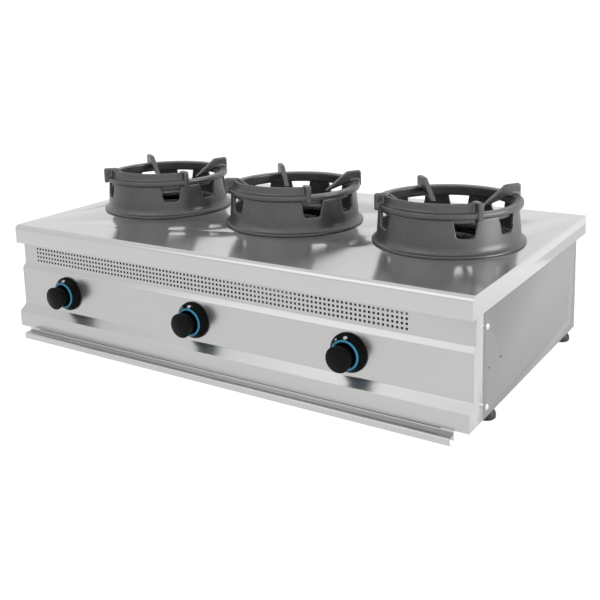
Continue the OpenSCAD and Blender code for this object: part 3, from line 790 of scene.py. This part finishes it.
class WOKRANGE_OT_pan_supports(Operator):
    """Build the three cast-iron pan supports with their prongs"""

    bl_idname = "wokrange.pan_supports"
    bl_label = "Pan supports"

    def execute(self, context):
        place_castings("pan_support", "support", SUPPORT_TURNS, context.scene.wok_range_iron)
        return {"FINISHED"}


# Burners and gas line


BURNER_EDGE = 0.8 * MM


class WOKRANGE_OT_burners(Operator):
    """Finish the burners, their rims, pilots and thermocouples"""

    bl_idname = "wokrange.burners"
    bl_label = "Burners"

    def execute(self, context):
        coat_node("burnt_steel", "burner_rims", "thermocouples")
        coat_node("drawn_brass", "pilot_burners", "injectors")
        for side in SIDES:
            rounded_copy(
                f"{side}_burner_body",
                "housing",
                "burnt_iron_and_shade",
                edge=BURNER_EDGE,
            )
            coat_node("burnt_iron_and_shade", f"{side}_burner_cap")
        return {"FINISHED"}


class WOKRANGE_OT_gas_line(Operator):
    """Finish the manifold, valves, tubes and leads"""

    bl_idname = "wokrange.gas_line"
    bl_label = "Gas line"

    def execute(self, context):
        coat_node("drawn_brass", "gas_manifold", "pilot_tubes")
        coat_node("drawn_copper", "thermocouple_leads")
        for side in SIDES:
            coat_node("drawn_brass", f"{side}_gas_valve")
            coat_node("drawn_copper", f"{side}_feed_tube")
            coat_node(
                "bright_metal",
                f"{side}_valve_stem",
                f"{side}_valve_plunger",
                f"{side}_valve_spring",
            )
        return {"FINISHED"}


# Knobs and bezels


KNOB_BACK = 7.6 * MM
KNOB_RADIUS = 27 * MM
GRIP_RADIUS = 22 * MM
RIB_HEIGHT = 1 * MM
RIB_FADE = 6 * MM
GRIP_END = 39.5 * MM
KNOB_LIP = 0.8 * MM
FLARE_LOW = (2.2 * MM, 2.1 * MM)
FLARE_HIGH = (1.6 * MM, 0.9 * MM)
FACE_BACK = 43 * MM
FACE_EDGE = 46 * MM
KNOB_TOP = 50 * MM
BORE_RADIUS = 4.05 * MM
BORE_END = 26 * MM
TURN_STEPS = 192

BEZEL_RADIUS = 41 * MM
BEZEL_FLOOR = 3 * MM
SHOULDER = 7.6 * MM
CROWN_RADIUS = 31.3 * MM
CROWN_HEIGHT = 18.7 * MM
WELL_RADIUS = 26 * MM
RING_WIDTH = 5 * MM
LINING_WALL = 0.6 * MM
RING_LOW = 15 * MM
BEZEL_HEIGHT = 19 * MM
HUB_RADIUS = 4.4 * MM
BEZEL_EDGE = 0.5 * MM
CROWN_SLACK = (0.2 * MM, 0.3 * MM)
LINING_TAPER = 1.4 * MM
LINING_TOP = BEZEL_HEIGHT - 0.4 * MM
LINING_BEVEL = 0.2 * MM
LINING_FOOT = 0.3 * MM
MARK_PLACE = (34.4 * MM, 0, 14.6 * MM)
MARK_TILT = math.radians(58.5)
MARKS = ((0, 4.1 * MM), (38, 2.6 * MM))
MARK_STEPS = 32


def axis_point(side):
    """Where the axis of a knob meets the outside of the front panel."""
    low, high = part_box(f"{side}_bezel")
    return Vector(((low.x + high.x) / 2, high.y, (low.z + high.z) / 2))


def knob_mesh(centre, ribs):
    """A knob with a ribbed grip and a domed face with a rounded edge."""
    dome_rise = KNOB_TOP - FACE_EDGE
    dome = [
        (KNOB_RADIUS * share, FACE_EDGE + dome_rise * (1 - share * share))
        for share in (0.95, 0.9, 0.8, 0.65, 0.5, 0.35, 0.2, 0.1, 0)
    ]
    profile = [
        (0, BORE_END),
        (BORE_RADIUS, BORE_END),
        (BORE_RADIUS, KNOB_BACK),
        (GRIP_RADIUS - KNOB_LIP, KNOB_BACK),
        (GRIP_RADIUS, KNOB_BACK + KNOB_LIP),
        (GRIP_RADIUS, GRIP_END - RIB_FADE),
        (GRIP_RADIUS, GRIP_END),
        (GRIP_RADIUS + FLARE_LOW[0], FACE_BACK - FLARE_LOW[1]),
        (KNOB_RADIUS - FLARE_HIGH[0], FACE_BACK - FLARE_HIGH[1]),
        *arc((KNOB_RADIUS - KNOB_LIP, FACE_BACK + KNOB_LIP), KNOB_LIP, -60, 0, 4),
        *arc((KNOB_RADIUS - KNOB_LIP, FACE_EDGE - KNOB_LIP / 2), KNOB_LIP, 0, 62, 5),
        *dome,
    ]

    def rib(turn, height):
        if not KNOB_BACK + KNOB_LIP / 2 < height < GRIP_END:
            return 0
        return RIB_HEIGHT * max(0, math.cos(ribs * turn)) ** 2

    bm = bmesh.new()
    turned(bm, profile, TURN_STEPS, facing_front(centre), rib)
    return mesh_from(bm, "knob")


def bezel_mesh(centre):
    """A bezel with a rounded shoulder, a steep crown and a well for the knob."""
    shoulder = (BEZEL_RADIUS - SHOULDER, BEZEL_FLOOR)
    crown = (CROWN_RADIUS + CROWN_SLACK[0], CROWN_HEIGHT - BEZEL_EDGE)
    profile = [
        (HUB_RADIUS, 0),
        (BEZEL_RADIUS - BEZEL_EDGE / 2, 0),
        (BEZEL_RADIUS, BEZEL_EDGE / 2),
        *arc(shoulder, SHOULDER, 0, 58, 10),
        *arc(crown, BEZEL_EDGE, 28, 120, 5),
        (CROWN_RADIUS - CROWN_SLACK[1], RING_LOW),
        (WELL_RADIUS, RING_LOW),
        (WELL_RADIUS, BEZEL_FLOOR),
        (HUB_RADIUS, BEZEL_FLOOR),
        (HUB_RADIUS, 0),
    ]
    bm = bmesh.new()
    turned(bm, profile, TURN_STEPS, facing_front(centre))
    bmesh.ops.remove_doubles(bm, verts=bm.verts, dist=WELD_GAP)
    return mesh_from(bm, "bezel")


def add_ring_bead(bm, centre):
    """Adds the rounded blue ring that stands round the well of a bezel."""
    bead = RING_WIDTH / 2
    profile = [
        (WELL_RADIUS, RING_LOW),
        (WELL_RADIUS + RING_WIDTH, RING_LOW),
        *arc((WELL_RADIUS + bead, BEZEL_HEIGHT), bead, 0, 180, 14),
        (WELL_RADIUS, RING_LOW),
    ]
    turned(bm, profile, TURN_STEPS, facing_front(centre))


def add_lining(bm, centre):
    """Adds the thin tapered lining of the well of a bezel."""
    profile = [
        (WELL_RADIUS, LINING_TOP),
        (WELL_RADIUS - LINING_TAPER, BEZEL_FLOOR + LINING_FOOT),
        (WELL_RADIUS - LINING_TAPER + LINING_WALL, BEZEL_FLOOR),
        (WELL_RADIUS + LINING_WALL, LINING_TOP - LINING_BEVEL),
        (WELL_RADIUS, LINING_TOP),
    ]
    turned(bm, profile, TURN_STEPS, facing_front(centre))


def add_marks(bm, centre):
    """Adds the two round marks that lie on the slope of a bezel."""
    slope = Matrix.Translation(MARK_PLACE) @ Matrix.Rotation(MARK_TILT, 4, "Y")
    for turn, radius in MARKS:
        place = facing_front(centre) @ Matrix.Rotation(math.radians(90 + turn), 4, "Z")
        dot = [
            (radius, -0.4 * MM),
            (radius, 0.2 * MM),
            (radius * 0.9, 0.35 * MM),
            (0, 0.4 * MM),
        ]
        turned(bm, dot, MARK_STEPS, place @ slope)


class WOKRANGE_OT_bezels(Operator):
    """Build the bezels, their blue rings and their marks"""

    bl_idname = "wokrange.bezels"
    bl_label = "Bezels"

    def execute(self, context):
        rings = bmesh.new()
        linings = bmesh.new()
        marks = bmesh.new()
        for side in SIDES:
            centre = axis_point(side)
            add_piece(
                f"{side}_bezel_shell",
                bezel_mesh(centre),
                "housing",
                "bezel_gloss",
                [f"{side}_bezel"],
            )
            add_ring_bead(rings, centre)
            add_lining(linings, centre)
            add_marks(marks, centre)
        for bm in (rings, linings):
            bmesh.ops.remove_doubles(bm, verts=bm.verts, dist=WELD_GAP)
        add_piece(
            "bezel_ring_beads",
            mesh_from(rings, "bezel_ring_beads"),
            "housing",
            "ring_gloss",
            ["bezel_rings"],
        )
        add_piece(
            "bezel_linings",
            mesh_from(linings, "bezel_linings"),
            "housing",
            "well_gloss",
        )
        add_piece(
            "bezel_marks", mesh_from(marks, "bezel_marks"), "housing", "mark_white"
        )
        return {"FINISHED"}


class WOKRANGE_OT_knobs(Operator):
    """Build the three knobs"""

    bl_idname = "wokrange.knobs"
    bl_label = "Knobs"

    def execute(self, context):
        for side in SIDES:
            add_piece(
                f"{side}_knob_cap",
                knob_mesh(axis_point(side), context.scene.wok_range_knob.ribs),
                f"{side}_control",
                "knob_gloss",
                [f"{side}_knob"],
            )
        return {"FINISHED"}


# Drip tray, feet and fasteners


FLANGE_WALL = 1.5 * MM
FLANGE_LAP = 0.5 * MM
FLANGE_EDGE = 0.4 * MM
FOOT_EDGE = 0.6 * MM


def tray_flange_mesh():
    """The upright flange behind the tray's lip, as high as the pan's front wall."""
    lip_low, lip_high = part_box("tray_front")
    pan_low, pan_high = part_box("drip_tray")
    low = Vector((lip_low.x, pan_low.y - FLANGE_WALL, lip_high.z - FLANGE_LAP))
    high = Vector((lip_high.x, pan_low.y, pan_high.z))
    bm = bmesh.new()
    bmesh.ops.create_cube(bm, size=1)
    place = Matrix.Translation((low + high) / 2) @ Matrix.Diagonal((*(high - low), 1))
    bm.transform(place)
    round_edges(bm, FLANGE_EDGE)
    return mesh_from(bm, "tray_flange", keep_flat=True)


class WOKRANGE_OT_drip_tray(Operator):
    """Build the drip tray and its front"""

    bl_idname = "wokrange.drip_tray"
    bl_label = "Drip tray"

    def execute(self, context):
        settings = context.scene.wok_range_sheet
        for node in ("drip_tray", "tray_front"):
            rounded_copy(node, "tray", "lit_satin_tray", edge=settings.edge_width)
        add_piece("tray_flange", tray_flange_mesh(), "tray", "lit_satin_tray")
        return {"FINISHED"}


class WOKRANGE_OT_feet(Operator):
    """Build the feet and finish their nuts"""

    bl_idname = "wokrange.feet"
    bl_label = "Feet"

    def execute(self, context):
        for corner in CORNERS:
            rounded_copy(
                f"{corner}_foot", f"{corner}_leg", "foot_black", edge=FOOT_EDGE
            )
        coat_node("bright_metal", "foot_nuts")
        return {"FINISHED"}


class WOKRANGE_OT_fasteners(Operator):
    """Finish the screws of the side and rear panels"""

    bl_idname = "wokrange.fasteners"
    bl_label = "Fasteners"

    def execute(self, context):
        coat_node("bright_metal", "panel_screws")
        return {"FINISHED"}


# Panel and registration


STEPS = (
    WOKRANGE_OT_stage,
    WOKRANGE_OT_cooking_top,
    WOKRANGE_OT_body_shell,
    WOKRANGE_OT_inner_frame,
    WOKRANGE_OT_wok_rings,
    WOKRANGE_OT_pan_supports,
    WOKRANGE_OT_burners,
    WOKRANGE_OT_gas_line,
    WOKRANGE_OT_bezels,
    WOKRANGE_OT_knobs,
    WOKRANGE_OT_drip_tray,
    WOKRANGE_OT_feet,
    WOKRANGE_OT_fasteners,
)
GROUPS = {
    "wok_range_sheet": SheetSettings,
    "wok_range_iron": IronSettings,
    "wok_range_knob": KnobSettings,
    "wok_range_stage": StageSettings,
}


class WOKRANGE_PT_builder(Panel):
    """Lists the settings and the steps of the wok range"""

    bl_idname = "WOKRANGE_PT_builder"
    bl_label = "Wok range"
    bl_space_type = "VIEW_3D"
    bl_region_type = "UI"
    bl_category = "Wok range"

    def draw(self, context):
        for name, group in GROUPS.items():
            box = self.layout.box()
            for field in group.__annotations__:
                box.prop(getattr(context.scene, name), field)
        for step in STEPS:
            self.layout.operator(step.bl_idname)


def register():
    for cls in (*GROUPS.values(), *STEPS, WOKRANGE_PT_builder):
        bpy.utils.register_class(cls)
    for name, group in GROUPS.items():
        setattr(bpy.types.Scene, name, PointerProperty(type=group))


def unregister():
    for name in GROUPS:
        delattr(bpy.types.Scene, name)
    for cls in (WOKRANGE_PT_builder, *reversed(STEPS), *GROUPS.values()):
        bpy.utils.unregister_class(cls)


def main():
    """Registers the add-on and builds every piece."""
    register()
    for step in STEPS:
        area, name = step.bl_idname.split(".")
        getattr(getattr(bpy.ops, area), name)()


if __name__ == "__main__":
    main()
